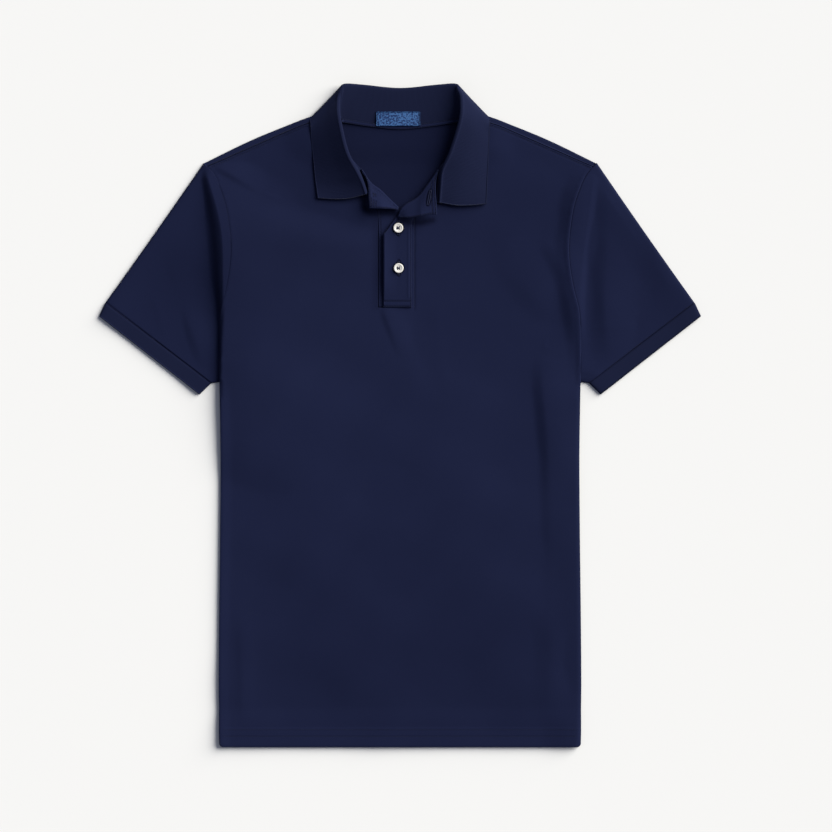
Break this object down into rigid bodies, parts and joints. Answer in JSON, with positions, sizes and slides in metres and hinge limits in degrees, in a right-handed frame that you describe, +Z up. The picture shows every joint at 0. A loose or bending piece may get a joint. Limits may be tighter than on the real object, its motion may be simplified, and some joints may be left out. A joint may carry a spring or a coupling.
{
  "type": "polo shirt",
  "caption": "Short-sleeved pique knit polo shirt lying flat, front up, with a folded rib collar, an open neck placket, white buttons and rib sleeve bands",
  "frame": {"origin": "On the surface the shirt lies on, under the middle of its outline", "axes": "+Z up from the surface through the front of the shirt, +Y towards the collar, +X to the right seen from above, which is the wearer's left"},
  "size_m": [0.6892, 0.7591, 0.0228],
  "materials": {
    "pique": "matt navy cotton pique knit with a fine waffle texture",
    "rib": "matt navy cotton flat knit with fine ribs",
    "label": "mid blue woven satin label, blank",
    "button": "off-white polished button with a pearly sheen"
  },
  "bodies": {
    "root": {"back": "pique", "front": "pique", "sleeve_left": "pique", "sleeve_right": "pique", "cuff_left": "rib", "cuff_right": "rib", "collar": "rib", "placket_under": "pique", "placket_over": "pique", "neck_tape": "pique", "label": "label", "button_middle": "button", "button_low": "button", "button_neck": "button"}
  },
  "joints": []
}
